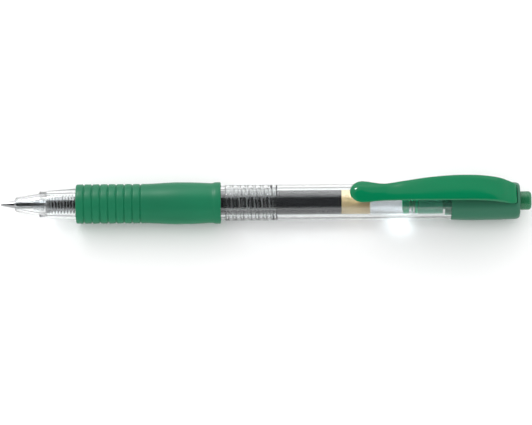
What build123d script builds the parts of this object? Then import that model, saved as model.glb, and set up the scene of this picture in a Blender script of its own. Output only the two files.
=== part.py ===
from build123d import *
import os
from math import cos, pi, sin

# Retractable gel pen, shown with the writing tip out and the button latched in.
#
# Every piece is drawn about its own axis first: a "station" is the distance in millimetres from
# the writing point towards the button, and a radius is measured from the pen's axis. The export
# at the end lays the pen down along X, writing point towards -X and pocket clip towards +Z, with
# the origin on the surface that it lies on, under the middle of its length.

# ---- overall ----
LENGTH = 142.0             # writing point to button, tip out
GRIP_BULGE_RADIUS = 5.62   # the widest turned radius, so the axis lies this high

# ---- front section: clear nose, grip seat, collar and threaded spigot ----
NOSE_START = 3.95
NOSE_STEP = 10.4
NOSE_BAND_END = 12.5
GRIP_START = 20.2
GRIP_END = 58.95
GRIP_SEAT_RADIUS = 4.22
COLLAR_RADIUS = 4.66
SPIGOT_START = 60.1
SPIGOT_END = 73.6
SPIGOT_RADIUS = 3.96
TIP_HOLE_RADIUS = 1.25
HOLDER_BORE_RADIUS = 2.1
SPRING_BORE_RADIUS = 2.75
REFILL_BORE_RADIUS = 3.42
SPRING_SEAT = 12.35
SPRING_BORE_END = 22.6

# ---- screw thread between front section and barrel ----
THREAD_PITCH = 2.02
THREAD_TURNS = 5
THREAD_START = 63.2
THREAD_CREST_RADIUS = 4.26
THREAD_FLANK = 0.55        # half the ridge's width at its foot
THREAD_LAND = 0.2          # half the ridge's width at its crest
THREAD_GAP = 0.09          # clearance round the ridge in the barrel
THREAD_LEAD_IN = 2         # whole turns of groove in front of the ridge, out of the mouth
THREAD_RUN_OUT = 0.25      # turns of groove behind the ridge

# ---- rubber grip ----
GRIP_RING_PITCH = 2.157
GRIP_RING_COUNT = 8
GRIP_FIRST_GROOVE = 22.35
GRIP_RADIUS = 5.26
GRIP_GROOVE_DEPTH = 0.3
GRIP_BULGE = 47.5
GRIP_NECK = 56.4
GRIP_NECK_RADIUS = 5.33

# ---- barrel ----
BARREL_START = 60.15
BARREL_RADIUS = 4.78
BARREL_BORE_RADIUS = 3.82
MOUTH_RADIUS = 4.04
MOUTH_END = 74.0
BARREL_END = 133.4
CAP_SPIGOT_RADIUS = 4.4

# ---- click mechanism: channels in the barrel, rotor and button ----
CHANNEL_COUNT = 4
GUIDE_START = 121.5
GUIDE_RADIUS = 3.4
CHANNEL_WIDTH = 1.5
TOOTH_DEPTH = 0.9
TOOTH_COUNT = 8
FIN_WIDTH = 1.2
FIN_RADIUS = 3.72
ROTOR_START = 111.6
ROTOR_END = 118.2
ROTOR_RADIUS = 3.3
FIN_START = 118.8
FIN_END = 121.1
ROTOR_NECK_RADIUS = 2.15
STEM_RADIUS = 1.5
STEM_END = 127.2
CROWN_START = 121.25
CROWN_RADIUS = 3.3
CROWN_BORE_RADIUS = 2.35
CROWN_END = 128.2
STEM_BORE_RADIUS = 1.7
LUG_START = 123.0
LUG_LENGTH = 3.6
BUTTON_RADIUS = 2.5
BUTTON_STEM_RADIUS = 2.3
BUTTON_HEAD_START = 139.1
BUTTON_ROUND = 0.85
BUTTON_FLOOR = 132.5

# ---- clip cap ----
CAP_START = 120.5
CAP_END = 138.9
CAP_SHOULDER = 133.95
BUTTON_HOLE_RADIUS = 2.6
CLIP_RECESS_START = 133.0
CLIP_RECESS_FLOOR = 3.45
CLIP_GAP = 0.14            # clearance between clip and cap
CLIP_POCKET_STATION = 136.4
CLIP_POCKET_LENGTH = 3.2
CLIP_POCKET_HALF = 2.5

# ---- pocket clip ----
CLIP_BEAD_STATION = 136.9
CLIP_BEAD_HEIGHT = 3.6
CLIP_BEAD_RADIUS = 0.5
CLIP_BEAD_HALF = 1.7
# station, half width, height of the sides' middle, depth of the sides, crown height, inner hollow
CLIP_SECTIONS = [
    (93.35, 1.30, 6.45, 0.9, 0.25, -0.15),
    (94.30, 2.65, 6.42, 1.1, 0.75, -0.70),
    (96.80, 3.08, 6.34, 1.2, 0.90, -0.86),
    (99.60, 2.74, 6.02, 1.1, 0.62, -0.45),
    (103.2, 2.42, 5.95, 1.1, 0.40, -0.05),
    (108.0, 2.74, 6.80, 1.2, 0.40, 0.05),
    (114.4, 3.22, 7.80, 1.3, 0.45, 0.10),
    (121.0, 3.52, 8.35, 1.4, 0.50, 0.12),
    (126.5, 3.54, 8.28, 1.5, 0.55, 0.12),
    (130.5, 3.45, 7.70, 1.6, 0.60, 0.10),
    (133.6, 3.30, 6.62, 1.6, 0.62, 0.05),
    (136.1, 3.14, 5.15, 1.2, 0.55, 0.02),
    (138.0, 2.95, 4.20, 0.7, 0.40, 0.02),
]

# ---- refill ----
REFILL_RADIUS = 3.28
REFILL_BORE = 2.7
TUBE_START = 24.8
TUBE_END = 111.0
HOLDER_START = 8.8
HOLDER_RADIUS = 1.95
HOLDER_FLANGE = 24.0
HOLDER_END = 29.0
CHANNEL_RADIUS = 0.68
SHANK_RADIUS = 1.15
TIP_TAIL_END = 12.0
INK_END = 91.2
FOLLOWER_END = 98.8
MENISCUS = 0.7
PLUG_START = 107.3
PLUG_END = 111.5
BALL_RADIUS = 0.25
SOCKET_RADIUS = 0.262

# ---- return spring ----
SPRING_WIRE_RADIUS = 0.2
SPRING_COIL_RADIUS = 2.34
# pitch and number of turns of each run, front to rear
SPRING_RUNS = [(0.46, 2), (0.92, 9), (0.46, 4)]


def turned(outline):
    """Solid of revolution about the pen's axis from a closed outline of (station, radius)."""
    points = [(station, 0, radius) for station, radius in outline]
    return revolve(make_face(Polyline(*points, close=True)), Axis.X)


def turned_curves(edges):
    """Solid of revolution from edges that together close an outline."""
    return revolve(make_face(edges), Axis.X)


def rod(start, end, radius):
    """Plain cylinder on the pen's axis."""
    return turned([(start, 0), (start, radius), (end, radius), (end, 0)])


def tube(start, end, inner, outer):
    """Plain tube on the pen's axis."""
    return turned([(start, inner), (start, outer), (end, outer), (end, inner)])


def around(solid, count, first_angle=0.0):
    """Copies of a solid, evenly spaced round the pen's axis."""
    step = 360 / count
    return [Rot(first_angle + step * i, 0, 0) * solid for i in range(count)]


def fused(solids):
    """One solid from several that overlap."""
    total = solids[0]
    for solid in solids[1:]:
        total = total + solid
    return total


def thread_ridge(start, turns, foot_radius, crest_radius, foot, land):
    """Right-handed helical ridge on the pen's axis, of trapezoid section."""
    path = Helix(THREAD_PITCH, THREAD_PITCH * turns, foot_radius)
    section = make_face(
        Polyline(
            (foot_radius, 0, -foot),
            (crest_radius, 0, -land),
            (crest_radius, 0, land),
            (foot_radius, 0, foot),
            close=True,
        )
    )
    ridge = sweep(section, path=path, is_frenet=True)
    return Pos(start, 0, 0) * Rot(0, 90, 0) * ridge


def nose_section():
    """Clear nose, grip seat and threaded spigot, moulded in one piece."""
    band_grooves = []
    for station in (10.9, 11.45, 12.0):
        band_grooves += [(station - 0.12, 3.45), (station, 3.33), (station + 0.12, 3.45)]
    outside = [
        (NOSE_START, TIP_HOLE_RADIUS),
        (NOSE_START, 1.5),
        (NOSE_START + 0.3, 1.78),
        (4.8, 2.0),
        (7.9, 2.56),
        (NOSE_STEP, 2.92),
        (NOSE_STEP, 3.45),
        *band_grooves,
        (NOSE_BAND_END, 3.45),
        (NOSE_BAND_END, 3.6),
        (15.1, 3.8),
        (17.5, 4.02),
        (GRIP_START, GRIP_SEAT_RADIUS),
        (GRIP_END, GRIP_SEAT_RADIUS),
        (GRIP_END, COLLAR_RADIUS),
        (SPIGOT_START, COLLAR_RADIUS),
        (SPIGOT_START, SPIGOT_RADIUS),
        (SPIGOT_END, SPIGOT_RADIUS),
    ]
    inside = [
        (SPIGOT_END, REFILL_BORE_RADIUS),
        (SPRING_BORE_END + 0.6, REFILL_BORE_RADIUS),
        (SPRING_BORE_END, SPRING_BORE_RADIUS),
        (SPRING_SEAT, SPRING_BORE_RADIUS),
        (SPRING_SEAT, HOLDER_BORE_RADIUS),
        (9.2, HOLDER_BORE_RADIUS - 0.2),
        (5.6, TIP_HOLE_RADIUS),
    ]
    body = turned(outside + inside)
    ridge = thread_ridge(
        THREAD_START, THREAD_TURNS, SPIGOT_RADIUS - 0.1, THREAD_CREST_RADIUS, THREAD_FLANK, THREAD_LAND
    )
    return body + ridge


def rubber_grip():
    """Soft sleeve: ringed front half, bulged back half and a rolled rear edge."""
    top = [
        (GRIP_START, 4.55),
        (GRIP_START + 0.14, 4.9),
        (GRIP_START + 0.4, GRIP_RADIUS - 0.1),
        (GRIP_START + 0.75, GRIP_RADIUS),
    ]
    for i in range(GRIP_RING_COUNT):
        groove = GRIP_FIRST_GROOVE + i * GRIP_RING_PITCH
        top += [
            (groove - 0.32, GRIP_RADIUS),
            (groove - 0.14, GRIP_RADIUS - GRIP_GROOVE_DEPTH),
            (groove + 0.14, GRIP_RADIUS - GRIP_GROOVE_DEPTH),
            (groove + 0.32, GRIP_RADIUS),
        ]
    last = top[-1]
    bulge = Spline(
        (last[0], 0, last[1]),
        (42.5, 0, 5.45),
        (GRIP_BULGE, 0, GRIP_BULGE_RADIUS),
        (52.5, 0, 5.5),
        (GRIP_NECK, 0, GRIP_NECK_RADIUS),
    )
    edge = GRIP_END - 0.3
    edges = [
        Polyline((GRIP_START, 0, GRIP_SEAT_RADIUS), *[(s, 0, r) for s, r in top]),
        bulge,
        ThreePointArc((GRIP_NECK, 0, GRIP_NECK_RADIUS), (57.8, 0, 5.6), (edge, 0, 5.5)),
        ThreePointArc((edge, 0, 5.5), (GRIP_END - 0.08, 0, 5.4), (GRIP_END, 0, 5.2)),
        Polyline(
            (GRIP_END, 0, 5.2), (GRIP_END, 0, GRIP_SEAT_RADIUS), (GRIP_START, 0, GRIP_SEAT_RADIUS)
        ),
    ]
    return turned_curves(edges)


def barrel_tube():
    """Clear barrel with a threaded mouth, and the click channels inside its tail."""
    edge = 0.15
    body = turned(
        [
            (BARREL_START, MOUTH_RADIUS),
            (BARREL_START, BARREL_RADIUS - edge),
            (BARREL_START + edge, BARREL_RADIUS),
            (CAP_START - 0.02, BARREL_RADIUS),
            (CAP_START - 0.02, CAP_SPIGOT_RADIUS),
            (BARREL_END, CAP_SPIGOT_RADIUS),
            (BARREL_END, BARREL_BORE_RADIUS),
            (MOUTH_END, BARREL_BORE_RADIUS),
            (MOUTH_END - 0.2, MOUTH_RADIUS),
        ]
    )
    groove = thread_ridge(
        THREAD_START - THREAD_LEAD_IN * THREAD_PITCH,
        THREAD_TURNS + THREAD_LEAD_IN + THREAD_RUN_OUT,
        MOUTH_RADIUS - 0.2,
        THREAD_CREST_RADIUS + THREAD_GAP,
        THREAD_FLANK + THREAD_GAP,
        THREAD_LAND + THREAD_GAP,
    )
    return body - groove + click_guide()


def click_guide():
    """Ribs in the barrel's tail: channels between them, saw teeth on their front ends."""
    ring = tube(GUIDE_START, BARREL_END, GUIDE_RADIUS, BARREL_BORE_RADIUS)
    channel = Pos((GUIDE_START + BARREL_END) / 2, 0, BARREL_BORE_RADIUS) * Box(
        BARREL_END - GUIDE_START + 2, CHANNEL_WIDTH, 2
    )
    ring = ring - around(channel, CHANNEL_COUNT)
    return ring - around(saw_tooth(GUIDE_START, 1, GUIDE_RADIUS - 0.3, BARREL_BORE_RADIUS + 0.3), TOOTH_COUNT)


def saw_tooth(station, side, inner, outer):
    """Wedge that cuts one slanted tooth face, from a station towards the button."""
    half = outer * pi / TOOTH_COUNT
    wedge = Polyline(
        (station - 0.01, -half, 0),
        (station - 0.01, half, 0),
        (station + TOOTH_DEPTH, side * half, 0),
        close=True,
    )
    return Pos(0, 0, inner) * extrude(make_face(wedge), amount=outer - inner, dir=(0, 0, 1))


def cam_rotor():
    """Rotor that carries the refill: cup in front, four slanted fins and a pilot stem behind."""
    edge = 0.15
    cup_floor = ROTOR_END - 1.2
    body = turned(
        [
            (ROTOR_START, CROWN_BORE_RADIUS),
            (ROTOR_START, ROTOR_RADIUS - edge),
            (ROTOR_START + edge, ROTOR_RADIUS),
            (ROTOR_END - edge, ROTOR_RADIUS),
            (ROTOR_END, ROTOR_RADIUS - edge),
            (ROTOR_END, ROTOR_NECK_RADIUS),
            (FIN_END - 0.1, ROTOR_NECK_RADIUS),
            (FIN_END - 0.1, STEM_RADIUS),
            (STEM_END - 0.4, STEM_RADIUS),
            (STEM_END, STEM_RADIUS - 0.4),
            (STEM_END, 0),
            (cup_floor, 0),
            (cup_floor, CROWN_BORE_RADIUS),
        ]
    )
    blank = Pos((FIN_START + FIN_END) / 2, 0, (2.0 + FIN_RADIUS) / 2) * Box(
        FIN_END - FIN_START, FIN_WIDTH, FIN_RADIUS - 2.0
    )
    blank = blank & rod(FIN_START, FIN_END, FIN_RADIUS)
    slant = Polyline(
        (FIN_END + 0.01, -FIN_WIDTH, 0),
        (FIN_END + 0.01, FIN_WIDTH / 2 + 0.01, 0),
        (FIN_END - 0.75, -FIN_WIDTH, 0),
        close=True,
    )
    fin = blank - extrude(make_face(slant), amount=FIN_RADIUS + 1, dir=(0, 0, 1))
    return fused([body, *around(fin, CHANNEL_COUNT)])


def push_button():
    """Button with its guide lugs and the toothed crown that turns the rotor."""
    rounding = [
        (
            LENGTH - BUTTON_ROUND * (1 - sin(angle)),
            BUTTON_RADIUS - BUTTON_ROUND * (1 - cos(angle)),
        )
        for angle in (i * pi / 12 for i in range(7))
    ]
    body = turned(
        [
            (CROWN_START, CROWN_BORE_RADIUS),
            (CROWN_START, CROWN_RADIUS),
            (CROWN_END, CROWN_RADIUS),
            (CROWN_END, BUTTON_STEM_RADIUS),
            (BUTTON_HEAD_START, BUTTON_STEM_RADIUS),
            (BUTTON_HEAD_START, BUTTON_RADIUS),
            *rounding,
            (LENGTH, 0),
            (BUTTON_FLOOR, 0),
            (BUTTON_FLOOR, STEM_BORE_RADIUS),
            (CROWN_END - 0.6, STEM_BORE_RADIUS),
            (CROWN_END - 0.6, CROWN_BORE_RADIUS),
        ]
    )
    body = body - around(saw_tooth(CROWN_START, -1, 1.9, CROWN_RADIUS + 0.2), TOOTH_COUNT)
    lug = Pos(LUG_START + LUG_LENGTH / 2, 0, FIN_RADIUS - 0.3) * Box(LUG_LENGTH, FIN_WIDTH, 1.2)
    lug = lug & tube(LUG_START - 1, LUG_START + LUG_LENGTH + 1, 3.0, FIN_RADIUS)
    return fused([body, *around(lug, CHANNEL_COUNT)])


def clip_cap():
    """Cap pressed on the barrel's tail, with the clip's recess and the button's hole."""
    lip = CAP_START + 1.9
    skin = [
        Polyline(
            (CAP_START, 0, CAP_SPIGOT_RADIUS),
            (CAP_START, 0, 4.85),
            (CAP_START + 0.15, 0, 5.0),
            (lip, 0, 5.08),
        ),
        Spline((lip, 0, 5.08), (126.5, 0, 5.2), (133.0, 0, 5.02), (137.4, 0, 4.72)),
        ThreePointArc((137.4, 0, 4.72), (138.45, 0, 4.4), (CAP_END, 0, 3.6)),
        Polyline(
            (CAP_END, 0, 3.6),
            (CAP_END, 0, BUTTON_HOLE_RADIUS),
            (CAP_SHOULDER, 0, BUTTON_HOLE_RADIUS),
            (CAP_SHOULDER, 0, 3.6),
            (BARREL_END + 0.02, 0, 3.6),
            (BARREL_END + 0.02, 0, CAP_SPIGOT_RADIUS),
            (CAP_START, 0, CAP_SPIGOT_RADIUS),
        ),
    ]
    body = turned_curves(skin)
    rows = [row for row in CLIP_SECTIONS if row[0] > CLIP_RECESS_START]
    rows.append((rows[-1][0] + CLIP_GAP, *rows[-1][1:]))
    recess = loft([clip_section(*row, gap=CLIP_GAP) for row in rows])
    pocket = Pos(CLIP_POCKET_STATION, 0, CLIP_RECESS_FLOOR + 1) * Box(
        CLIP_POCKET_LENGTH, 2 * CLIP_POCKET_HALF, 2
    )
    seat = Pos(CLIP_BEAD_STATION, 0, CLIP_BEAD_HEIGHT) * Rot(90, 0, 0) * Cylinder(
        CLIP_BEAD_RADIUS + 0.05, 2 * CLIP_BEAD_HALF + 0.2
    )
    return body - recess - pocket - seat


def clip_section(station, half_width, middle, depth, crown, hollow, gap=0.0):
    """Cross-section of the clip: crowned outer face, rounded sides and a bowed inner face."""
    upper = middle + depth / 2 + gap
    lower = middle - depth / 2 - gap
    half_width += gap
    inset = half_width - 0.3
    edges = [
        ThreePointArc((station, -inset, upper), (station, 0, upper + crown), (station, inset, upper)),
        ThreePointArc((station, inset, upper), (station, half_width, middle), (station, inset, lower)),
        ThreePointArc((station, inset, lower), (station, 0, lower + hollow), (station, -inset, lower)),
        ThreePointArc((station, -inset, lower), (station, -half_width, middle), (station, -inset, upper)),
    ]
    return make_face(edges)


def pocket_clip():
    """Sprung clip: ball end on the barrel, arched arm and a root held in the cap by its bead."""
    arm = loft([clip_section(*row) for row in CLIP_SECTIONS])
    root = CLIP_RECESS_FLOOR + CLIP_GAP
    block = Pos(CLIP_POCKET_STATION, 0, (root + 4.4) / 2) * Box(
        CLIP_POCKET_LENGTH - 2 * CLIP_GAP, 2 * (CLIP_POCKET_HALF - CLIP_GAP), 4.4 - root
    )
    bead = Pos(CLIP_BEAD_STATION, 0, CLIP_BEAD_HEIGHT) * Rot(90, 0, 0) * Cylinder(
        CLIP_BEAD_RADIUS, 2 * CLIP_BEAD_HALF
    )
    return fused([arm, block, bead])


def writing_tip():
    """Turned steel ball holder: conical nose, straight shank and the tail inside the holder."""
    body = turned(
        [
            (0.15, 0),
            (0.15, 0.30),
            (0.6, 0.40),
            (3.8, 1.04),
            (4.0, SHANK_RADIUS),
            (HOLDER_START, SHANK_RADIUS),
            (HOLDER_START, 0.95),
            (TIP_TAIL_END, 0.95),
            (TIP_TAIL_END, 0.3),
            (0.4, 0.3),
            (0.4, 0),
        ]
    )
    feed = rod(0.25, 1.0, 0.12)
    return body - Pos(BALL_RADIUS, 0, 0) * Sphere(SOCKET_RADIUS) - feed


def writing_ball():
    """Carbide ball that rolls in the steel tip."""
    return Pos(BALL_RADIUS, 0, 0) * Sphere(BALL_RADIUS)


def tip_holder():
    """Moulded holder between the steel tip and the refill tube, with the spring's rear seat."""
    return turned(
        [
            (HOLDER_START, 0.95),
            (HOLDER_START, 1.4),
            (HOLDER_START + 0.4, 1.62),
            (10.6, 1.66),
            (12.9, HOLDER_RADIUS),
            (HOLDER_FLANGE, HOLDER_RADIUS),
            (HOLDER_FLANGE, REFILL_BORE),
            (TUBE_START, REFILL_RADIUS),
            (TUBE_START, REFILL_BORE),
            (HOLDER_END, REFILL_BORE),
            (HOLDER_END, CHANNEL_RADIUS),
            (TIP_TAIL_END, CHANNEL_RADIUS),
            (TIP_TAIL_END, 0.95),
        ]
    )


def refill_tube():
    """Translucent ink tube."""
    return tube(TUBE_START, TUBE_END, REFILL_BORE, REFILL_RADIUS)


def liquid(start, end):
    """Column of liquid in the tube, with its rear end hollowed by the meniscus."""
    return rod(start, end, REFILL_BORE) - meniscus(end)


def meniscus(station):
    """Ball whose front pole hollows the end of a liquid column that ends at a station."""
    radius = (REFILL_BORE**2 + MENISCUS**2) / (2 * MENISCUS)
    return Pos(station - MENISCUS + radius, 0, 0) * Sphere(radius)


def ink_column():
    """Ink that fills the holder's channel and the front of the tube."""
    return rod(TIP_TAIL_END, HOLDER_END + 0.1, CHANNEL_RADIUS) + liquid(HOLDER_END, INK_END)


def ink_follower():
    """Grease plug that follows the ink down the tube and keeps the air off it."""
    head = rod(INK_END - MENISCUS - 0.1, INK_END, REFILL_BORE) & meniscus(INK_END)
    return head + liquid(INK_END, FOLLOWER_END)


def tail_plug():
    """Vented plug that closes the refill's tail and takes the rotor's push."""
    vent = 0.4
    grooves = []
    for station in (108.2, 109.2, 110.2):
        grooves += [(station - 0.25, REFILL_BORE), (station - 0.15, 2.3)]
        grooves += [(station + 0.15, 2.3), (station + 0.25, REFILL_BORE)]
    return turned(
        [
            (PLUG_START, vent),
            (PLUG_START, 2.35),
            (PLUG_START + 0.3, REFILL_BORE),
            *grooves,
            (TUBE_END, REFILL_BORE),
            (TUBE_END, REFILL_RADIUS),
            (PLUG_END, REFILL_RADIUS),
            (PLUG_END, vent),
        ]
    )


def return_spring():
    """Coil spring round the tip holder, with closed coils at both ends."""
    steps = 16
    stations = [SPRING_SEAT + SPRING_WIRE_RADIUS + 0.02]
    for pitch, turns in SPRING_RUNS:
        start = stations[-1]
        stations += [start + pitch * (i + 1) / steps for i in range(turns * steps)]
    points = []
    for i, station in enumerate(stations):
        angle = 2 * pi * i / steps
        points.append((station, SPRING_COIL_RADIUS * cos(angle), SPRING_COIL_RADIUS * sin(angle)))
    path = Spline(*points)
    section = Plane(origin=path @ 0, z_dir=path % 0) * Circle(SPRING_WIRE_RADIUS)
    return sweep(section, path=path, is_frenet=True)


def lay_down(piece):
    """Puts a piece in the finished pen's frame."""
    return Pos(-LENGTH / 2, 0, GRIP_BULGE_RADIUS) * piece


PIECES = {
    "nose_section": nose_section,
    "rubber_grip": rubber_grip,
    "barrel_tube": barrel_tube,
    "clip_cap": clip_cap,
    "pocket_clip": pocket_clip,
    "push_button": push_button,
    "cam_rotor": cam_rotor,
    "writing_tip": writing_tip,
    "writing_ball": writing_ball,
    "tip_holder": tip_holder,
    "refill_tube": refill_tube,
    "ink_column": ink_column,
    "ink_follower": ink_follower,
    "tail_plug": tail_plug,
    "return_spring": return_spring,
}

os.makedirs("parts", exist_ok=True)
for name, make in PIECES.items():
    export_step(lay_down(make()), f"parts/{name}.step")
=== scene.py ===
from math import ceil, cos, pi, radians, sin

import bmesh
import bpy
from mathutils import Matrix, Vector


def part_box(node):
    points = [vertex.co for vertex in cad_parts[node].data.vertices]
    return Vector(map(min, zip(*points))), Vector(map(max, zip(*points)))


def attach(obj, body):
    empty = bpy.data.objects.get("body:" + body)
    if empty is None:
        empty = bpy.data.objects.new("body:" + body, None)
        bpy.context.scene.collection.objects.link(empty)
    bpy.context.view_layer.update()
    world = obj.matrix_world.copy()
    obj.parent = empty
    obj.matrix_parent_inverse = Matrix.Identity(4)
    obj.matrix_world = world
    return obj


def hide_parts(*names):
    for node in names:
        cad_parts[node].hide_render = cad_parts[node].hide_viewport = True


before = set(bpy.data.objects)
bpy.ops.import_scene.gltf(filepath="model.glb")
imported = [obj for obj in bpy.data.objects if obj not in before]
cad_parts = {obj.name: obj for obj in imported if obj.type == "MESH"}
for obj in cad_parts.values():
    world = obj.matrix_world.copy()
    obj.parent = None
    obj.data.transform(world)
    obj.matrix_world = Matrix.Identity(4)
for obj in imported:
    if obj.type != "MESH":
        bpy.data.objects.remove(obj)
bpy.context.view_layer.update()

bl_info = {
    "name": "Gel Pen Finisher",
    "version": (1, 0, 0),
    "blender": (4, 5, 0),
    "location": "View3D > Sidebar > Gel Pen",
    "description": "Builds the finished skin of a clear-barrelled click gel pen round its CAD frame",
    "category": "Object",
}

# ---------------------------------------------------------------- the frame

MM = 0.001
POINT_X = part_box("writing_ball")[0].x
AXIS_Z = sum(corner.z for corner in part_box("barrel_tube")) / 2


def span(node):
    """First and last station of a CAD node, in millimetres behind the writing point."""
    low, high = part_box(node)
    return (low.x - POINT_X) / MM, (high.x - POINT_X) / MM


def girth(node):
    """Largest radius of a turned CAD node, in millimetres."""
    low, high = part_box(node)
    return (high.y - low.y) / 2 / MM


def place(station, across=0.0, up=0.0):
    """Point in the frame from a station and two offsets from the pen's axis, in millimetres."""
    return Vector((POINT_X + station * MM, across * MM, AXIS_Z + up * MM))


# ---------------------------------------------------------------- colours


def linear(code):
    """Linear RGB of an sRGB hex code."""
    channels = [int(code[i : i + 2], 16) / 255 for i in (1, 3, 5)]
    return [c / 12.92 if c <= 0.04045 else ((c + 0.055) / 1.055) ** 2.4 for c in channels]


def rgba(colour, alpha=1.0):
    """Colour socket value."""
    return (*colour, alpha)


# ---------------------------------------------------------------- user settings


def colour_setting(name, description, code):
    """A colour property with an sRGB hex default."""
    return bpy.props.FloatVectorProperty(
        name=name, description=description, default=linear(code), subtype="COLOR", min=0, max=1
    )


def length_setting(name, description, millimetres):
    """A length property with a default in millimetres."""
    return bpy.props.FloatProperty(
        name=name, description=description, default=millimetres * MM, unit="LENGTH", precision=5
    )


class PenColours(bpy.types.PropertyGroup):
    """Colours of the pen's mouldings and fillings."""

    grip: colour_setting("Grip", "Rubber of the grip sleeve", "#0a704c")
    clip: colour_setting("Clip", "Polished moulding of the pocket clip", "#00744a")
    cap: colour_setting("Cap", "Satin moulding of the cap", "#22664c")
    button: colour_setting("Button", "Moulding of the click button", "#106c43")
    rotor: colour_setting("Rotor", "Moulding of the cam rotor", "#3f9a7c")
    plug: colour_setting("Plug", "Moulding of the refill's tail plug", "#00c48a")
    clear: colour_setting("Clear plastic", "Tint of the barrel and nose", "#fafcfc")
    tube: colour_setting("Ink tube", "Natural polypropylene of the refill", "#eceef0")
    ink: colour_setting("Ink", "Gel ink", "#08080d")
    follower: colour_setting("Follower", "Grease behind the ink", "#f8deaa")
    steel: colour_setting("Steel", "Tip and spring", "#a8a9ab")


class PenSizes(bpy.types.PropertyGroup):
    """Fine sizes that the CAD frame leaves to the finish."""

    groove_depth: length_setting("Groove depth", "Depth of the grip's ring grooves", 0.34)
    groove_width: length_setting("Groove width", "Width of a ring groove at its mouth", 0.62)
    thread_pitch: length_setting("Thread pitch", "Lead of the screw thread", 2.02)
    thread_height: length_setting("Thread height", "Height of the thread's ridge", 0.18)
    wire: length_setting("Wire", "Diameter of the return spring's wire", 0.4)
    coils: bpy.props.IntProperty(name="Coils", description="Turns of the spring", default=15, min=4)


def colours():
    """Current colour settings."""
    return bpy.context.scene.pen_colours


def sizes():
    """Current size settings."""
    return bpy.context.scene.pen_sizes


# ---------------------------------------------------------------- nodes


def add_node(tree, kind, inputs=None, **settings):
    """Adds a node, applies settings, and sets or links its inputs by name or number."""
    node = tree.nodes.new(kind)
    for key, value in settings.items():
        setattr(node, key, value)
    for key, value in (inputs or {}).items():
        if isinstance(value, bpy.types.NodeSocket):
            tree.links.new(value, node.inputs[key])
        else:
            node.inputs[key].default_value = value
    return node


def formula(tree, operation, *values):
    """Output of a Math node."""
    node = add_node(tree, "ShaderNodeMath", dict(enumerate(values)), operation=operation)
    return node.outputs[0]


# ---------------------------------------------------------------- materials


def new_material(name):
    """Empty node material and its output node."""
    material = bpy.data.materials.new(name)
    material.use_nodes = True
    tree = material.node_tree
    tree.nodes.clear()
    return material, tree, add_node(tree, "ShaderNodeOutputMaterial")


def object_position(tree, scale=(1, 1, 1)):
    """Object coordinates, stretched by a scale on each axis."""
    here = add_node(tree, "ShaderNodeTexCoord").outputs["Object"]
    return add_node(tree, "ShaderNodeMapping", {"Vector": here, "Scale": scale}).outputs[0]


def speckle(tree, size_mm, detail=3.0, stretch=(1, 1, 1)):
    """Noise whose blotches are about size_mm across."""
    position = object_position(tree, stretch)
    noise = add_node(
        tree, "ShaderNodeTexNoise", {"Vector": position, "Scale": 1 / (size_mm * MM), "Detail": detail}
    )
    return noise.outputs["Fac"]


def ramp(tree, factor, low, high):
    """Value that runs from low to high as factor runs from 0.3 to 0.7."""
    node = add_node(
        tree,
        "ShaderNodeMapRange",
        {"Value": factor, "From Min": 0.3, "From Max": 0.7, "To Min": low, "To Max": high},
    )
    return node.outputs[0]


def blend_colours(tree, factor, first, second):
    """Mix of two colours by a factor."""
    node = add_node(tree, "ShaderNodeMix", {"Factor": factor}, data_type="RGBA")
    node.inputs["A"].default_value = rgba(first)
    node.inputs["B"].default_value = rgba(second)
    return node.outputs["Result"]


def relief(tree, height, depth_mm, strength=1.0):
    """Bump of a real depth in millimetres."""
    node = add_node(
        tree, "ShaderNodeBump", {"Height": height, "Distance": depth_mm * MM, "Strength": strength}
    )
    return node.outputs[0]


def shade(colour, factor):
    """Colour made darker or lighter."""
    return [min(1.0, c * factor) for c in colour]


def mottled(tree, pattern, colour, spread):
    """Colour that a pattern makes darker and lighter by up to a share of itself."""
    dark, light = shade(colour, 1 - spread), shade(colour, 1 + spread)
    return blend_colours(tree, ramp(tree, pattern, 0, 1), dark, light)


def moulded(name, colour, roughness, grain_mm, depth_mm, coat=0.0, specular=0.5, spread=0.12):
    """Opaque plastic: even colour with a faint flow mottle and the mould's fine surface."""
    material, tree, output = new_material(name)
    mottle = speckle(tree, 6.0, 2.0, (0.25, 1, 1))
    grain = speckle(tree, grain_mm, 4.0)
    base = mottled(tree, mottle, colour, spread)
    shader = add_node(
        tree,
        "ShaderNodeBsdfPrincipled",
        {
            "Base Color": base,
            "Roughness": ramp(tree, grain, roughness * 0.88, roughness * 1.12),
            "IOR": 1.53,
            "Specular IOR Level": specular,
            "Coat Weight": coat,
            "Coat Roughness": 0.05,
            "Normal": relief(tree, grain, depth_mm),
        },
    )
    tree.links.new(shader.outputs[0], output.inputs["Surface"])
    return material


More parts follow.
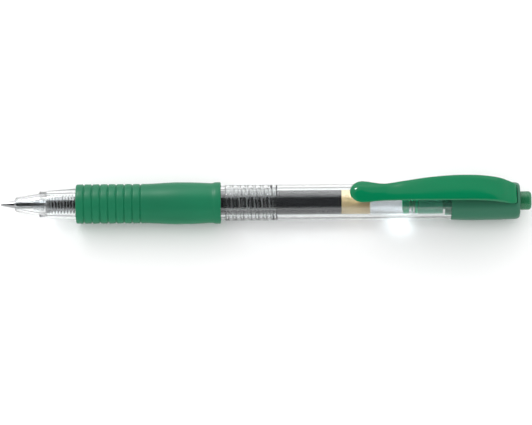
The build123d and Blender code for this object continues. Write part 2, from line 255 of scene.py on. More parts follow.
def clear_moulding(name, colour, ior, roughness, milk=0.0, milk_colour=(1, 1, 1)):
    """Clear or milky plastic that lets light through to what is inside it."""
    material, tree, output = new_material(name)
    flow = speckle(tree, 3.0, 2.0, (0.15, 1, 1))
    shader = add_node(
        tree,
        "ShaderNodeBsdfPrincipled",
        {
            "Base Color": rgba(colour),
            "Roughness": ramp(tree, flow, roughness * 0.8, roughness * 1.2),
            "IOR": ior,
            "Transmission Weight": 1.0,
        },
    )
    surface = shader.outputs[0]
    if milk:
        body = add_node(
            tree,
            "ShaderNodeBsdfPrincipled",
            {"Base Color": rgba(milk_colour), "Roughness": 0.4, "IOR": ior},
        )
        surface = add_node(
            tree, "ShaderNodeMixShader", {0: ramp(tree, flow, milk * 0.9, milk * 1.1), 1: surface}
        )
        tree.links.new(body.outputs[0], surface.inputs[2])
        surface = surface.outputs[0]
    path = add_node(tree, "ShaderNodeLightPath")
    dim = add_node(tree, "ShaderNodeBsdfTransparent", {"Color": rgba(shade(colour, 0.96))})
    mix = add_node(tree, "ShaderNodeMixShader", {0: path.outputs["Is Shadow Ray"], 1: surface})
    tree.links.new(dim.outputs[0], mix.inputs[2])
    tree.links.new(mix.outputs[0], output.inputs["Surface"])
    return material


def drawn_steel(name, colour, roughness, line_mm, depth_mm):
    """Bare steel with fine lines round the pen's axis, left by turning or drawing."""
    material, tree, output = new_material(name)
    lines = add_node(
        tree,
        "ShaderNodeTexWave",
        {"Vector": object_position(tree), "Scale": 1 / (line_mm * MM * 20), "Distortion": 0.4},
        wave_type="BANDS",
        bands_direction="X",
    ).outputs["Fac"]
    smudge = speckle(tree, 0.8)
    shader = add_node(
        tree,
        "ShaderNodeBsdfPrincipled",
        {
            "Base Color": blend_colours(tree, smudge, shade(colour, 0.85), shade(colour, 1.05)),
            "Metallic": 1.0,
            "Roughness": ramp(tree, smudge, roughness * 0.8, roughness * 1.25),
            "Normal": relief(tree, lines, depth_mm),
        },
    )
    tree.links.new(shader.outputs[0], output.inputs["Surface"])
    return material


def wet_filling(name, colour, roughness, variation):
    """Gel or grease seen through its tube: glossy where it wets the wall, with soft streaks."""
    material, tree, output = new_material(name)
    streak = speckle(tree, 2.5, 3.0, (0.3, 1, 1))
    base = mottled(tree, streak, colour, variation)
    shader = add_node(
        tree,
        "ShaderNodeBsdfPrincipled",
        {
            "Base Color": base,
            "Roughness": ramp(tree, streak, roughness * 0.8, roughness * 1.2),
            "IOR": 1.4,
        },
    )
    tree.links.new(shader.outputs[0], output.inputs["Surface"])
    return material


def make_materials():
    """All of the pen's finishes, by slot name."""
    c = colours()
    return {
        # Transparent ABS, injection moulded and polished: hard glints and bright edges.
        "clear_styrene": clear_moulding("transparent_abs_polished", c.clear, 1.54, 0.015),
        # Nitrile rubber, compression moulded: soft broad sheen over a fine grain.
        "green_rubber": moulded("nitrile_rubber_moulded", c.grip, 0.42, 0.12, 0.004, specular=0.2),
        # ABS from a polished mould: clear reflections with a little orange peel.
        "green_gloss": moulded(
            "abs_gloss_moulded", c.clip, 0.16, 1.2, 0.0015, coat=0.1, specular=0.11, spread=0.04
        ),
        # ABS from a vapour-blasted mould: satin, with wide soft highlights.
        "green_satin": moulded("abs_satin_moulded", c.cap, 0.34, 0.25, 0.002, specular=0.3, spread=0.06),
        "button_satin": moulded("abs_satin_button", c.button, 0.28, 0.25, 0.002, spread=0.06),
        "rotor_acetal": moulded("acetal_moulded", c.rotor, 0.4, 0.3, 0.002),
        "plug_green": moulded("polyethylene_plug", c.plug, 0.35, 0.3, 0.002),
        # Spring wire, bright drawn: sharp small glints.
        "spring_steel": drawn_steel("spring_wire_drawn", c.steel, 0.22, 0.1, 0.0006),
        # Stainless steel, turned on a lathe: fine rings round the cone.
        "tip_steel": drawn_steel("stainless_turned", c.steel, 0.2, 0.14, 0.0012),
        "carbide": drawn_steel("carbide_ground", shade(c.steel, 0.5), 0.3, 0.1, 0.0004),
        # Natural polypropylene, extruded: milky and soft.
        "tube_plastic": clear_moulding("polypropylene_tube", c.tube, 1.49, 0.05, 0.012, c.tube),
        "clear_holder": clear_moulding("polypropylene_holder", c.tube, 1.49, 0.04, 0.012, c.tube),
        # Pigment gel: nearly black, wet against the tube.
        "gel_ink": wet_filling("gel_ink_wet", c.ink, 0.1, 0.1),
        # Polybutene grease: amber and cloudy.
        "grease": wet_filling("polybutene_grease", c.follower, 0.25, 0.06),
    }


# ---------------------------------------------------------------- turned meshes


def soften(outline):
    """Outline with its corners rounded: each point is (station, radius) or has a corner radius too."""
    steps = 5
    count = len(outline)
    smooth = []
    for i, point in enumerate(outline):
        corner = Vector(point[:2])
        size = point[2] if len(point) > 2 else 0.0
        before = Vector(outline[i - 1][:2]) - corner
        after = Vector(outline[(i + 1) % count][:2]) - corner
        if size <= 0:
            smooth.append(tuple(corner))
            continue
        first = corner + before.normalized() * min(size, before.length * 0.45)
        last = corner + after.normalized() * min(size, after.length * 0.45)
        for k in range(steps + 1):
            t = k / steps
            smooth.append(tuple(first * (1 - t) ** 2 + corner * 2 * t * (1 - t) + last * t**2))
    return smooth


def divided(first, last, step):
    """Points along a straight outline edge, about a step apart, without its last point."""
    count = max(1, ceil((Vector(last) - Vector(first)).length / step))
    return [tuple(Vector(first).lerp(Vector(last), i / count)) for i in range(count)]


def turned_mesh(name, outline, segments=128):
    """Closed surface of revolution about the pen's axis; points at radius 0 become poles."""
    vertices = []
    rings = []
    for station, radius in outline:
        if radius < 1e-6:
            rings.append([len(vertices)] * segments)
            vertices.append(place(station))
            continue
        rings.append(list(range(len(vertices), len(vertices) + segments)))
        for k in range(segments):
            angle = 2 * pi * k / segments
            vertices.append(place(station, radius * sin(angle), radius * cos(angle)))
    faces = []
    for i, ring in enumerate(rings):
        following = rings[(i + 1) % len(rings)]
        if ring[0] == ring[1] and following[0] == following[1]:
            continue
        for k in range(segments):
            n = (k + 1) % segments
            corners = dict.fromkeys((ring[k], ring[n], following[n], following[k]))
            faces.append(list(corners))
    mesh = bpy.data.meshes.new(name)
    mesh.from_pydata(vertices, [], faces)
    return finish_mesh(mesh)


def lofted_mesh(name, rings, crease=50):
    """Closed skin over rings of equal point count, with a fan of faces over each end."""
    count = len(rings[0])
    vertices = [point for ring in rings for point in ring]
    faces = []
    for i in range(len(rings) - 1):
        for k in range(count):
            n = (k + 1) % count
            faces.append((i * count + k, i * count + n, (i + 1) * count + n, (i + 1) * count + k))
    for ring, first in ((rings[0], 0), (rings[-1], (len(rings) - 1) * count)):
        vertices.append(sum(ring, Vector()) / count)
        centre = len(vertices) - 1
        faces += [(first + k, first + (k + 1) % count, centre) for k in range(count)]
    mesh = bpy.data.meshes.new(name)
    mesh.from_pydata(vertices, [], faces)
    return finish_mesh(mesh, crease)


def carved(mesh, cutters, crease=40):
    """Mesh with the cutters' volumes taken away."""
    holder = bpy.data.objects.new("blank", mesh)
    bpy.context.scene.collection.objects.link(holder)
    tools = []
    for cutter in cutters:
        tool = bpy.data.objects.new("cutter", cutter)
        bpy.context.scene.collection.objects.link(tool)
        modifier = holder.modifiers.new("cut", "BOOLEAN")
        modifier.object = tool
        modifier.solver = "EXACT"
        tools.append(tool)
    shown = holder.evaluated_get(bpy.context.evaluated_depsgraph_get())
    result = bpy.data.meshes.new_from_object(shown)
    for part in (holder, *tools):
        bpy.data.objects.remove(part)
    return finish_mesh(result, crease)


def finish_mesh(mesh, crease=30):
    """Outward normals and smooth shading that stops at creases."""
    shape = bmesh.new()
    shape.from_mesh(mesh)
    bmesh.ops.remove_doubles(shape, verts=shape.verts, dist=1e-7)
    bmesh.ops.recalc_face_normals(shape, faces=shape.faces)
    shape.to_mesh(mesh)
    shape.free()
    mesh.polygons.foreach_set("use_smooth", [True] * len(mesh.polygons))
    mesh.set_sharp_from_angle(angle=radians(crease))
    return mesh


def new_piece(name, mesh, body, slot, *nodes):
    """Object that stands for CAD nodes, rides on a body and takes its slot's finish."""
    piece = bpy.data.objects.new(name, mesh)
    bpy.context.scene.collection.objects.link(piece)
    mesh.materials.clear()
    mesh.materials.append(FINISH[slot])
    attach(piece, body)
    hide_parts(*nodes)
    return piece


FINISH = {}


# ---------------------------------------------------------------- geometry nodes


def new_geometry(name, sockets):
    """Geometry node tree with named inputs: (name, kind, default) each."""
    tree = bpy.data.node_groups.new(name, "GeometryNodeTree")
    tree.interface.new_socket("Geometry", in_out="INPUT", socket_type="NodeSocketGeometry")
    for label, kind, default in sockets:
        socket = tree.interface.new_socket(label, in_out="INPUT", socket_type=kind)
        if default is not None:
            socket.default_value = default
    tree.interface.new_socket("Geometry", in_out="OUTPUT", socket_type="NodeSocketGeometry")
    entry = add_node(tree, "NodeGroupInput")
    return tree, entry.outputs


def close_geometry(tree, geometry, material):
    """Ends a tree with real geometry and its material."""
    real = add_node(tree, "GeometryNodeRealizeInstances", {"Geometry": geometry})
    painted = add_node(
        tree, "GeometryNodeSetMaterial", {"Geometry": real.outputs[0], "Material": material}
    )
    output = add_node(tree, "NodeGroupOutput")
    tree.links.new(painted.outputs[0], output.inputs[0])


def run_geometry(name, mesh, tree, values):
    """Plain mesh that a geometry tree makes from a starting mesh."""
    holder = bpy.data.objects.new(name, mesh)
    bpy.context.scene.collection.objects.link(holder)
    modifier = holder.modifiers.new(tree.name, "NODES")
    modifier.node_group = tree
    identifiers = {s.name: s.identifier for s in tree.interface.items_tree if s.in_out == "INPUT"}
    for label, value in values.items():
        modifier[identifiers[label]] = value
    shown = holder.evaluated_get(bpy.context.evaluated_depsgraph_get())
    result = bpy.data.meshes.new_from_object(shown)
    bpy.data.objects.remove(holder)
    return finish_mesh(result)


def thread_tree():
    """Raises a right-handed screw ridge on the part of a turned surface near a given radius."""
    tree, given = new_geometry(
        "screw_thread",
        [
            ("Start", "NodeSocketFloat", 0.0),
            ("End", "NodeSocketFloat", 0.0),
            ("Radius", "NodeSocketFloat", 0.0),
            ("Pitch", "NodeSocketFloat", 0.002),
            ("Height", "NodeSocketFloat", 0.0003),
            ("Material", "NodeSocketMaterial", None),
        ],
    )
    position = add_node(tree, "GeometryNodeInputPosition").outputs[0]
    split = add_node(tree, "ShaderNodeSeparateXYZ", {0: position})
    x, y, z = split.outputs
    up = formula(tree, "SUBTRACT", z, AXIS_Z)
    angle = formula(tree, "ARCTAN2", y, up)
    square = formula(tree, "ADD", formula(tree, "MULTIPLY", y, y), formula(tree, "MULTIPLY", up, up))
    reach = formula(tree, "POWER", square, 0.5)
    turn = formula(tree, "DIVIDE", angle, 2 * pi)
    along = formula(tree, "DIVIDE", formula(tree, "SUBTRACT", x, given["Start"]), given["Pitch"])
    phase = formula(tree, "FRACT", formula(tree, "ADD", along, turn))
    ridge = add_node(
        tree,
        "ShaderNodeMapRange",
        {
            "Value": formula(tree, "ABSOLUTE", formula(tree, "SUBTRACT", phase, 0.5)),
            "From Min": 0.04,
            "From Max": 0.4,
            "To Min": 1.0,
            "To Max": 0.0,
        },
        interpolation_type="SMOOTHSTEP",
    ).outputs[0]
    fade = []
    for edge, direction in (("Start", 1), ("End", -1)):
        distance = formula(tree, "MULTIPLY", formula(tree, "SUBTRACT", x, given[edge]), direction)
        node = add_node(
            tree,
            "ShaderNodeMapRange",
            {"Value": distance, "From Min": 0.0, "From Max": 0.6 * MM},
            interpolation_type="SMOOTHSTEP",
        )
        fade.append(node.outputs[0])
    size = formula(tree, "MULTIPLY", formula(tree, "MULTIPLY", fade[0], fade[1]), given["Height"])
    lift = formula(tree, "MULTIPLY", ridge, size)
    nearness = formula(tree, "ABSOLUTE", formula(tree, "SUBTRACT", reach, given["Radius"]))
    chosen = formula(tree, "LESS_THAN", nearness, 0.05 * MM)
    outward = add_node(
        tree,
        "ShaderNodeCombineXYZ",
        {1: formula(tree, "DIVIDE", y, reach), 2: formula(tree, "DIVIDE", up, reach)},
    ).outputs[0]
    offset = add_node(
        tree, "ShaderNodeVectorMath", {0: outward, "Scale": lift}, operation="SCALE"
    ).outputs[0]
    moved = add_node(
        tree,
        "GeometryNodeSetPosition",
        {"Geometry": given["Geometry"], "Selection": chosen, "Offset": offset},
    )
    close_geometry(tree, moved.outputs[0], given["Material"])
    return tree


def spring_tree():
    """Winds a wire round the pen's axis; its end coils lie closer together than the rest."""
    tree, given = new_geometry(
        "coil_spring",
        [
            ("Start", "NodeSocketFloat", 0.0),
            ("Length", "NodeSocketFloat", 0.01),
            ("Coil Radius", "NodeSocketFloat", 0.002),
            ("Wire Radius", "NodeSocketFloat", 0.0002),
            ("Coils", "NodeSocketInt", 15),
            ("Material", "NodeSocketMaterial", None),
        ],
    )
    line = add_node(tree, "GeometryNodeCurvePrimitiveLine", {"Start": (0, 0, 0), "End": (1, 0, 0)})
    points = add_node(
        tree,
        "GeometryNodeResampleCurve",
        {"Curve": line.outputs[0], "Count": formula(tree, "MULTIPLY", given["Coils"], 28)},
    )
    travel = add_node(tree, "GeometryNodeSplineParameter").outputs["Factor"]
    closing = add_node(tree, "ShaderNodeFloatCurve", {"Value": travel})
    curve = closing.mapping.curves[0]
    # Share of the coils against share of the length: two closed coils in front, four behind.
    for share, distance in ((2 / 15, 0.083), (11 / 15, 0.833)):
        curve.points.new(share, distance)
    for point in curve.points:
        point.handle_type = "VECTOR"
    closing.mapping.update()
    angle = formula(tree, "MULTIPLY", formula(tree, "MULTIPLY", travel, given["Coils"]), 2 * pi)
    x = formula(tree, "ADD", formula(tree, "MULTIPLY", closing.outputs[0], given["Length"]), given["Start"])
    y = formula(tree, "MULTIPLY", formula(tree, "COSINE", angle), given["Coil Radius"])
    z = formula(tree, "MULTIPLY", formula(tree, "SINE", angle), given["Coil Radius"])
    here = add_node(tree, "ShaderNodeCombineXYZ", {0: x, 1: y, 2: formula(tree, "ADD", z, AXIS_Z)})
    wound = add_node(
        tree, "GeometryNodeSetPosition", {"Geometry": points.outputs[0], "Position": here.outputs[0]}
    )
    wire = add_node(
        tree, "GeometryNodeCurvePrimitiveCircle", {"Resolution": 14, "Radius": given["Wire Radius"]}
    )
    solid = add_node(
        tree,
        "GeometryNodeCurveToMesh",
        {"Curve": wound.outputs[0], "Profile Curve": wire.outputs[0], "Fill Caps": True},
    )
    close_geometry(tree, solid.outputs[0], given["Material"])
    return tree


# ---------------------------------------------------------------- operators

NOSE = span("nose_section")
GRIP = span("rubber_grip")
BARREL = span("barrel_tube")
CAP = span("clip_cap")
CLIP = span("pocket_clip")
TUBE = span("refill_tube")
HOLDER = span("tip_holder")
PLUG = span("tail_plug")
SPRING = span("return_spring")

BARREL_RADIUS = girth("barrel_tube")
TUBE_RADIUS = girth("refill_tube")
SPIGOT_RADIUS = 3.96
MOUTH_RADIUS = 4.04
BORE_RADIUS = 3.82
COLLAR_START = GRIP[1]
THREAD = (63.2, 73.3)
REFILL_BORE = 2.7
INK_CHANNEL = 0.68
# The button goes about this far past its latched place.
OVERTRAVEL = 1.05
# Fillings and plug reach a little into the walls round them, which leaves no air gap to see.
WETTING = 0.03


class PEN_OT_nose(bpy.types.Operator):
    """Clear nose with its stepped band, grip seat, collar and threaded spigot"""

    bl_idname = "pen.nose"
    bl_label = "Clear nose"

    def execute(self, context):
        start, end = NOSE
        step, band_end = 10.4, 12.5
        seat = 4.22
        grooves = []
        for station in (10.95, 11.5, 12.05):
            grooves += [(station - 0.16, 3.45, 0.05), (station, 3.3, 0.06), (station + 0.16, 3.45, 0.05)]
        outline = soften(
            [
                (start, 1.25, 0.08),
                (start, 1.62, 0.1),
                (start + 0.28, 1.88, 0.15),
                (4.9, 2.03, 0.3),
                (7.9, 2.56, 1.0),
                (step, 2.9, 0.06),
                (step, 3.45, 0.12),
                *grooves,
                (band_end, 3.45, 0.05),
                (band_end, 3.6, 0.08),
                (15.1, 3.82, 1.0),
                (17.5, 4.03, 1.0),
                (GRIP[0] + 0.4, seat, 0.5),
                (COLLAR_START, seat),
                (COLLAR_START, 4.62, 0.06),
                (BARREL[0] - 0.05, 4.62, 0.06),
                (BARREL[0] - 0.05, SPIGOT_RADIUS),
                *divided((BARREL[0], SPIGOT_RADIUS), (end - 0.15, SPIGOT_RADIUS), 0.12),
                (end, SPIGOT_RADIUS - 0.15),
                (end, 3.42),
                (23.2, 3.42, 0.2),
                (22.6, 2.75, 0.2),
                (12.35, 2.75, 0.1),
                (12.35, 2.1, 0.1),
                (9.2, 1.9, 0.5),
                (5.6, 1.25, 0.3),
            ]
        )
        mesh = run_geometry(
            "nose_blank",
            turned_mesh("nose_blank", outline, 160),
            thread_tree(),
            {
                "Start": place(THREAD[0]).x,
                "End": place(THREAD[1]).x,
                "Radius": SPIGOT_RADIUS * MM,
                "Pitch": sizes().thread_pitch,
                "Height": sizes().thread_height,
                "Material": FINISH["clear_styrene"],
            },
        )
        new_piece("clear_nose", mesh, "front", "clear_styrene", "nose_section")
        return {"FINISHED"}


class PEN_OT_grip(bpy.types.Operator):
    """Rubber grip with eight moulded rings, a bulged rear half and a rolled rear edge"""

    bl_idname = "pen.grip"
    bl_label = "Rubber grip"

    def execute(self, context):
        start, end = GRIP
        seat, radius = 4.24, 5.26
        pitch, first, count = 2.157, 22.35, 8
        depth = sizes().groove_depth / MM
        width = sizes().groove_width / MM
        outline = [(start, seat, 0.05), (start, radius, 0.75)]
        for i in range(count):
            groove = first + i * pitch
            outline += [
                (groove - width / 2, radius, 0.14),
                (groove, radius - depth, 0.12),
                (groove + width / 2, radius, 0.14),
            ]
        last = first + count * pitch - pitch / 2
        bulge, neck = 47.5, 56.4
        bulge_height, neck_swell = 0.36, 0.19
        for i in range(1, 25):
            station = last + (neck - last) * i / 24
            if station < bulge:
                rise = (station - last) / (bulge - last)
                swell = rise * rise * (3 - 2 * rise)
            else:
                fall = (station - bulge) / (neck - bulge)
                swell = neck_swell + (1 - neck_swell) * cos(fall * pi / 2)
            outline.append((station, radius + bulge_height * swell))
        outline += [
            (neck + 0.5, 5.36, 0.3),
            (neck + 0.95, 5.56, 0.3),
            (end, 5.58, 0.4),
            (end, seat, 0.1),
        ]
        mesh = turned_mesh("rubber_sleeve", soften(outline), 160)
        new_piece("rubber_sleeve", mesh, "front", "green_rubber", "rubber_grip")
        return {"FINISHED"}


class PEN_OT_barrel(bpy.types.Operator):
    """Clear barrel with its threaded mouth"""

    bl_idname = "pen.barrel"
    bl_label = "Clear barrel"

    def execute(self, context):
        start, end = BARREL
        cap = CAP[0]
        mouth_end = 74.0
        outline = soften(
            [
                (start, MOUTH_RADIUS),
                (start, BARREL_RADIUS, 0.15),
                (cap - 0.02, BARREL_RADIUS, 0.08),
                (cap - 0.02, 4.4),
                (end, 4.4, 0.1),
                (end, BORE_RADIUS),
                (mouth_end, BORE_RADIUS, 0.08),
                (mouth_end - 0.25, MOUTH_RADIUS, 0.08),
                *reversed(divided((start + 0.1, MOUTH_RADIUS), (mouth_end - 0.45, MOUTH_RADIUS), 0.12)),
            ]
        )
        mesh = run_geometry(
            "barrel_blank",
            turned_mesh("barrel_blank", outline, 160),
            thread_tree(),
            {
                "Start": place(THREAD[0]).x - 2 * sizes().thread_pitch,
                "End": place(THREAD[1]).x,
                "Radius": MOUTH_RADIUS * MM,
                "Pitch": sizes().thread_pitch,
                "Height": sizes().thread_height,
                "Material": FINISH["clear_styrene"],
            },
        )
        new_piece("clear_barrel", mesh, "barrel", "clear_styrene", "barrel_tube")
        return {"FINISHED"}


class PEN_OT_refill(bpy.types.Operator):
    """Refill: steel tip, holder, ink tube, ink and follower grease"""

    bl_idname = "pen.refill"
    bl_label = "Refill"

    def execute(self, context):
        bore = REFILL_BORE
        holder_start, holder_end = HOLDER
        tube_start, tube_end = TUBE
        shank, socket = 1.15, 0.95
        tip_end, holder_step = 12.0, 24.0
        tip = [
            (0.16, 0.0),
            (0.16, 0.29, 0.05),
            (0.6, 0.40, 0.1),
            (3.8, 1.04, 0.1),
            (4.0, shank, 0.1),
            (holder_start + 0.1, shank),
            (holder_start + 0.1, socket - 0.01),
            (tip_end, socket - 0.01),
            (tip_end, 0.0),
        ]
        holder = [
            (holder_start, socket, 0.05),
            (holder_start, 1.5, 0.2),
            (10.4, 1.66, 0.3),
            (12.9, 1.95, 0.3),
            (holder_step, 1.95, 0.05),
            (holder_step, 2.55, 0.1),
            (tube_start, TUBE_RADIUS, 0.1),
            (tube_start, bore),
            (holder_end, bore, 0.05),
            (holder_end, INK_CHANNEL, 0.05),
            (tip_end, INK_CHANNEL),
            (tip_end, socket),
        ]
        tube = [
            (tube_start, bore + 0.01),
            (tube_start, TUBE_RADIUS),
            (tube_end, TUBE_RADIUS, 0.1),
            (tube_end, bore + 0.01),
        ]
        pieces = (
            ("steel_tip", tip, "tip_steel", "writing_tip"),
            ("holder", holder, "clear_holder", "tip_holder"),
            ("ink_tube", tube, "tube_plastic", "refill_tube"),
        )
        for name, outline, slot, node in pieces:
            new_piece(name, turned_mesh(name, soften(outline)), "refill", slot, node)
        self.fill()
        return {"FINISHED"}

    def fill(self):
        """Ink and follower, each with a hollowed rear end."""
        ink_end = span("ink_column")[1]
        grease_end = span("ink_follower")[1]
        inner = REFILL_BORE + WETTING
        core = INK_CHANNEL + WETTING
        ink_start, widening = 12.1, 29.1
        hollow = 0.7

        def bowl(station, outward):
            """Meniscus outline from the wall to the axis, or back."""
            points = [
                (station - hollow * cos(pi / 2 * k / 10), inner * sin(pi / 2 * k / 10)) for k in range(11)
            ]
            return points if outward else points[::-1]

        ink = [
            (ink_start, 0.0),
            (ink_start, core),
            (widening, core),
            (widening, inner),
            *bowl(ink_end, False),
        ]
        grease = [*bowl(ink_end + 0.02, True), *bowl(grease_end, False)]
        fillings = (
            ("gel_ink", ink, "gel_ink", "ink_column"),
            ("follower_grease", grease, "grease", "ink_follower"),
        )
        for name, outline, slot, node in fillings:
            new_piece(name, turned_mesh(name, outline), "refill", slot, node)


class PEN_OT_spring(bpy.types.Operator):
    """Return spring, wound from one wire"""

    bl_idname = "pen.spring"
    bl_label = "Return spring"

    def execute(self, context):
        start, end = SPRING
        wire = sizes().wire / 2
        # Drawn short at its hidden rear end, which the holder reaches when the button is pressed.
        end -= OVERTRAVEL
        mesh = run_geometry(
            "spring_seed",
            bpy.data.meshes.new("spring_seed"),
            spring_tree(),
            {
                "Start": place(start).x + wire,
                "Length": (end - start) * MM - 2 * wire,
                "Coil Radius": 2.34 * MM,
                "Wire Radius": wire,
                "Coils": sizes().coils,
                "Material": FINISH["spring_steel"],
            },
        )
        new_piece("wire_spring", mesh, "spring", "spring_steel", "return_spring")
        return {"FINISHED"}


# Station, half width, height of the middle, depth, crown of the outer face, bow of the inner face
# and squareness of the edges along the clip.
CLIP_KEYS = (
    (96.8, 3.08, 6.34, 1.45, 0.80, 0.80, 2.3),
    (98.3, 2.96, 6.20, 1.25, 0.70, 0.62, 2.6),
    (99.8, 2.72, 6.05, 1.10, 0.58, 0.40, 3.2),
    (101.5, 2.50, 5.96, 1.05, 0.44, 0.18, 4.0),
    (103.2, 2.42, 6.00, 1.05, 0.34, 0.05, 5.0),
    (108.0, 2.74, 6.88, 1.10, 0.30, -0.05, 7.0),
    (114.4, 3.22, 7.92, 1.10, 0.30, -0.10, 8.0),
    (121.0, 3.52, 8.48, 1.10, 0.32, -0.12, 8.0),
    (126.5, 3.54, 8.42, 1.20, 0.36, -0.12, 8.0),
    (130.5, 3.45, 7.84, 1.35, 0.40, -0.10, 8.0),
    (133.6, 3.30, 6.72, 1.60, 0.40, -0.05, 8.0),
    (136.1, 3.10, 5.22, 1.15, 0.36, -0.02, 7.0),
    (137.4, 2.85, 4.55, 0.85, 0.30, -0.02, 5.0),
    (138.0, 2.35, 4.15, 0.50, 0.20, -0.02, 4.0),
)


def clip_values(station):
    """The clip's measures at a station, on a smooth curve through its keys."""
    last = len(CLIP_KEYS) - 1
    i = max(k for k in range(last) if CLIP_KEYS[k][0] <= station or k == 0)
    before, first, second, after = (CLIP_KEYS[min(max(i + k, 0), last)] for k in (-1, 0, 1, 2))
    length = second[0] - first[0]
    t = (station - first[0]) / length
    values = []
    for column in range(1, len(first)):
        rise = second[column] - first[column]
        start = rise
        if before is not first:
            start = (second[column] - before[column]) / (second[0] - before[0]) * length
        end = rise
        if after is not second:
            end = (after[column] - first[column]) / (after[0] - first[0]) * length
        values.append(
            first[column] * (2 * t**3 - 3 * t**2 + 1)
            + second[column] * (3 * t**2 - 2 * t**3)
            + start * (t**3 - 2 * t**2 + t)
            + end * (t**3 - t**2)
        )
    return values


def clip_ring(station, grow=0.0, shrink=1.0):
    """Cross-section of the clip, grown by a clearance or shrunk towards its middle."""
    half_width, middle, depth, crown, bow, square = clip_values(max(station, CLIP_KEYS[0][0]))
    ring = []
    for k in range(72):
        angle = 2 * pi * k / 72
        across = abs(cos(angle)) ** (2 / square) * (1 if cos(angle) >= 0 else -1)
        up = abs(sin(angle)) ** (2 / square) * (1 if sin(angle) >= 0 else -1)
        dome = (crown if up > 0 else -bow) * (1 - across * across) * abs(up)
        height = (depth / 2 + grow) * up + dome
        ring.append(place(station, (half_width + grow) * across * shrink, middle + height * shrink))
    return ring


class PEN_OT_clip(bpy.types.Operator):
    """Pocket clip: round end, waisted neck, arched arm and a root that dips into the cap"""

    bl_idname = "pen.clip"
    bl_label = "Pocket clip"

    def execute(self, context):
        start, end = CLIP
        middle = CLIP_KEYS[0][0]
        rings = []
        for k in range(1, 19):
            turn = pi / 2 * k / 18
            rings.append(clip_ring(middle - (middle - start) * cos(turn), shrink=sin(turn)))
        steps = 110
        for k in range(1, steps + 1):
            rings.append(clip_ring(middle + (end - 0.02 - middle) * k / steps))
        mesh = lofted_mesh("sprung_clip", rings)
        new_piece("sprung_clip", mesh, "clip", "green_gloss", "pocket_clip")
        return {"FINISHED"}


class PEN_OT_cap(bpy.types.Operator):
    """Cap over the barrel's rear end, softly swelled, with a recess for the clip's root"""

    bl_idname = "pen.cap"
    bl_label = "Cap"

    def execute(self, context):
        start, end = CAP
        outline = soften(
            [
                (start, 4.43),
                (start, 4.98, 0.12),
                (start + 0.7, 5.02, 0.3),
                (start + 3.2, 5.14, 2.0),
                (start + 6.0, 5.195, 2.0),
                (start + 9.5, 5.15, 2.0),
                (end - 3.6, 5.02, 2.0),
                (end - 0.9, 4.93, 0.5),
                (end, 4.45, 0.45),
                (end, 2.62, 0.08),
                (end - 4.95, 2.62),
                (end - 4.95, 3.6),
                (BARREL[1] + 0.02, 3.6),
                (BARREL[1] + 0.02, 4.43),
            ]
        )
        recess_start, step, clearance = 133.0, 0.35, 0.17
        stations = [recess_start + step * k for k in range(15)]
        recess = [clip_ring(min(station, CLIP[1] - 0.02), clearance) for station in stations]
        for point in recess[-1]:
            point.x += 0.2 * MM
        mesh = carved(turned_mesh("satin_cap", outline, 144), [lofted_mesh("recess", recess)])
        new_piece("satin_cap", mesh, "barrel", "green_satin", "clip_cap")
        return {"FINISHED"}


class PEN_OT_click(bpy.types.Operator):
    """Click parts: button, cam rotor and the refill's ribbed tail plug"""

    bl_idname = "pen.click"
    bl_label = "Click parts"

    def execute(self, context):
        start, end = PLUG
        rib = REFILL_BORE + WETTING
        waist = 1.7
        outline = [
            (start, 0.0),
            (start, 2.3, 0.15),
            (start + 0.3, rib, 0.1),
            (start + 1.9, rib, 0.15),
            (start + 2.1, waist, 0.15),
            (start + 2.5, waist, 0.1),
            (start + 2.55, rib, 0.1),
            (start + 2.85, rib, 0.1),
            (start + 2.9, waist, 0.1),
            (start + 3.3, waist, 0.1),
            (start + 3.35, rib, 0.1),
            (TUBE[1] + 0.02, rib, 0.05),
            (TUBE[1] + 0.02, 3.22, 0.08),
            (end - 0.01, 3.22, 0.08),
            (end - 0.01, 0.0),
        ]
        mesh = turned_mesh("ribbed_plug", soften(outline))
        new_piece("ribbed_plug", mesh, "refill", "plug_green", "tail_plug")
        finishes = {"push_button": "button_satin", "cam_rotor": "rotor_acetal", "writing_ball": "carbide"}
        for node, slot in finishes.items():
            for material_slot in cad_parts[node].material_slots:
                material_slot.material = FINISH[slot]
        return {"FINISHED"}


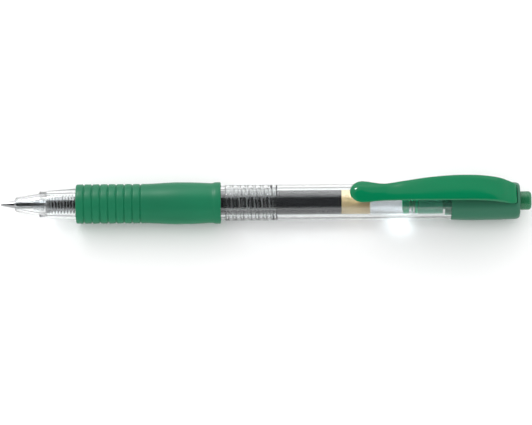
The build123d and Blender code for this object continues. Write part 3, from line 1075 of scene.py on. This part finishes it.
class PEN_OT_stage(bpy.types.Operator):
    """Pale floor, white studio light and the camera"""

    bl_idname = "pen.stage"
    bl_label = "Stage"

    def execute(self, context):
        self.floor()
        self.world()
        self.lights()
        self.camera()
        return {"FINISHED"}

    def floor(self):
        """Pale, slightly glossy table top, with painted shade strips that only clear parts see."""
        half = 1.5
        mesh = bpy.data.meshes.new("table_top")
        drop = 0.2 * MM
        corners = ((-half, -half), (half, -half), (half, half), (-half, half))
        mesh.from_pydata([(x, y, -drop) for x, y in corners], [], [(0, 1, 2, 3)])
        table = bpy.data.objects.new("table_top", mesh)
        bpy.context.scene.collection.objects.link(table)
        material, tree, output = new_material("white_laminate")
        shader = add_node(
            tree,
            "ShaderNodeBsdfPrincipled",
            {"Base Color": (0.93, 0.93, 0.93, 1), "Roughness": 0.5, "Specular IOR Level": 0.2},
        )
        # Through clear parts the table shows painted shade. Dark strips along the pen's sides stand in for
        # the shadow beside and beneath the pen, a strip brighter than white right under it offsets the
        # pen's own shadow, and it is darker again beyond about 35 mm. They are given as (place across a 100
        # mm wide band, grey) pairs, and they draw the edges of the clear walls.
        y = add_node(tree, "ShaderNodeSeparateXYZ", {0: object_position(tree)}).outputs[1]
        across = formula(tree, "MULTIPLY_ADD", y, 1 / (100 * MM), 0.5)
        painted_shade_ramp = add_node(tree, "ShaderNodeValToRGB", {"Fac": across})
        strips = (
            (0.15, 0.3), (0.275, 0.95), (0.436, 0.95), (0.444, 0.15), (0.455, 0.15), (0.461, 1.1),
            (0.533, 1.1), (0.536, 0.06), (0.565, 0.06), (0.577, 0.95), (0.725, 0.95), (0.85, 0.3),
        )
        stops = painted_shade_ramp.color_ramp.elements
        stops.remove(stops[1])
        for position, grey in strips:
            stops.new(position).color = (grey, grey, grey, 1)
        stops.remove(stops[0])
        # Painted shade and painted light for rays that pass through the clear parts only.
        through = add_node(tree, "ShaderNodeBsdfDiffuse", {"Color": painted_shade_ramp.outputs["Color"]})
        path = add_node(tree, "ShaderNodeLightPath")
        mix = add_node(
            tree,
            "ShaderNodeMixShader",
            {0: path.outputs["Is Transmission Ray"], 1: shader.outputs[0], 2: through.outputs[0]},
        )
        tree.links.new(mix.outputs[0], output.inputs["Surface"])
        mesh.materials.append(material)

    def world(self):
        """White tent with a dark gap overhead, so that gloss stays deep and clear edges bright."""
        world = bpy.data.worlds.new("white_tent")
        world.use_nodes = True
        tree = world.node_tree
        background = tree.nodes["Background"]
        background.inputs["Color"].default_value = (1, 1, 1, 1)
        path = add_node(tree, "ShaderNodeLightPath")
        direction = add_node(tree, "ShaderNodeTexCoord").outputs["Generated"]
        gap = Vector((0, -cos(radians(66)), sin(radians(66))))
        overhead = add_node(
            tree, "ShaderNodeVectorMath", {0: direction, 1: gap}, operation="DOT_PRODUCT"
        ).outputs["Value"]
        gloss = add_node(
            tree,
            "ShaderNodeMapRange",
            {
                "Value": overhead,
                "From Min": cos(radians(46)),
                "From Max": cos(radians(40)),
                "To Min": 1.35,
                "To Max": 0.03,
            },
            interpolation_type="SMOOTHSTEP",
        ).outputs[0]
        sharp = formula(
            tree, "MAXIMUM", path.outputs["Is Glossy Ray"], path.outputs["Is Transmission Ray"]
        )
        brightness = add_node(
            tree, "ShaderNodeMix", {"Factor": sharp, "A": 1.15, "B": gloss}, data_type="FLOAT"
        ).outputs[0]
        tree.links.new(brightness, background.inputs["Strength"])
        bpy.context.scene.world = world

    def lights(self):
        """Key strip behind the point end for the highlights, and a long soft box on the far side."""
        boxes = (
            ("key_strip", (-0.40, 0.58, 0.71), (0.15, 0.08), 3.2),
            ("far_box", (0.0, 0.85, 0.5), (0.9, 0.3), 0.9),
        )
        for name, direction, size, power in boxes:
            lamp = bpy.data.lights.new(name, "AREA")
            lamp.shape = "RECTANGLE"
            lamp.size, lamp.size_y = size
            lamp.energy = power
            box = bpy.data.objects.new(name, lamp)
            away = Vector(direction).normalized() * 0.6
            turn = away.to_track_quat("Z", "Y").to_matrix().to_4x4()
            box.matrix_world = Matrix.Translation(away) @ turn
            box.visible_diffuse = name != "key_strip"
            bpy.context.scene.collection.objects.link(box)

    def camera(self):
        """Long lens above the near side, so that the clip points up and a little towards it."""
        elevation, roll = radians(65), radians(0.46)
        view_width, lens, sensor = 142.4 * MM, 250.0, 36.0
        distance = view_width / 2 / (sensor / 2 / lens)
        back = Vector((0, -cos(elevation), sin(elevation)))
        right = Vector((1, 0, 0))
        up = back.cross(right)
        aim = Vector((place(71.0).x, 0, AXIS_Z)) - up * 2.66 * MM
        data = bpy.data.cameras.new("camera")
        data.lens = lens
        data.sensor_width = sensor
        data.clip_end = 20
        camera = bpy.data.objects.new("camera", data)
        turn = Matrix((right, up, back)).transposed().to_4x4() @ Matrix.Rotation(-roll, 4, "Z")
        camera.matrix_world = Matrix.Translation(aim + back * distance) @ turn
        bpy.context.scene.collection.objects.link(camera)
        bpy.context.scene.camera = camera
        bpy.context.scene.view_settings.view_transform = "Standard"


OPERATORS = (
    PEN_OT_nose,
    PEN_OT_grip,
    PEN_OT_barrel,
    PEN_OT_refill,
    PEN_OT_spring,
    PEN_OT_clip,
    PEN_OT_cap,
    PEN_OT_click,
    PEN_OT_stage,
)


class PEN_PT_panel(bpy.types.Panel):
    """Settings and steps of the gel pen"""

    bl_label = "Gel Pen"
    bl_idname = "PEN_PT_panel"
    bl_space_type = "VIEW_3D"
    bl_region_type = "UI"
    bl_category = "Gel Pen"

    def draw(self, context):
        for group in (colours(), sizes()):
            for key in group.__annotations__:
                self.layout.prop(group, key)
        for operator in OPERATORS:
            self.layout.operator(operator.bl_idname)


CLASSES = (PenColours, PenSizes, *OPERATORS, PEN_PT_panel)


def register():
    for cls in CLASSES:
        bpy.utils.register_class(cls)
    bpy.types.Scene.pen_colours = bpy.props.PointerProperty(type=PenColours)
    bpy.types.Scene.pen_sizes = bpy.props.PointerProperty(type=PenSizes)


def unregister():
    del bpy.types.Scene.pen_sizes
    del bpy.types.Scene.pen_colours
    for cls in reversed(CLASSES):
        bpy.utils.unregister_class(cls)


def main():
    register()
    FINISH.update(make_materials())
    for operator in OPERATORS:
        category, name = operator.bl_idname.split(".")
        getattr(getattr(bpy.ops, category), name)()


if __name__ == "__main__":
    main()
